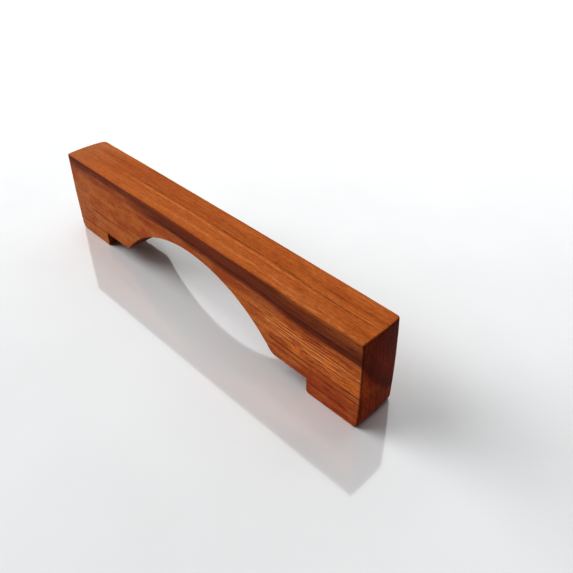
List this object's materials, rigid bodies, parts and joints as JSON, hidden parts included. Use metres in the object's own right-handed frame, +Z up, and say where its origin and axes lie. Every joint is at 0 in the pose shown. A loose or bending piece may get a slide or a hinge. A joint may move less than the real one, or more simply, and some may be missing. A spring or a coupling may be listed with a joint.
{
  "type": "grab rail",
  "caption": "Solid hardwood grab rail with an arched hand gap, stepped feet that rest on end pads, and threaded brass inserts in the pad soles for fixing from below.",
  "frame": {"origin": "centre of the rail's footprint, on the plane of the two pad soles", "axes": "+X along the rail from left foot to right foot, +Y to the back, +Z up from the deck to the top face; the front face looks along -Y"},
  "size_m": [0.201, 0.0224, 0.0438],
  "materials": {
    "timber": "satin",
    "insert_brass": "satin"
  },
  "bodies": {
    "root": {"rail": "timber", "left_insert": "insert_brass", "right_insert": "insert_brass"}
  },
  "joints": []
}
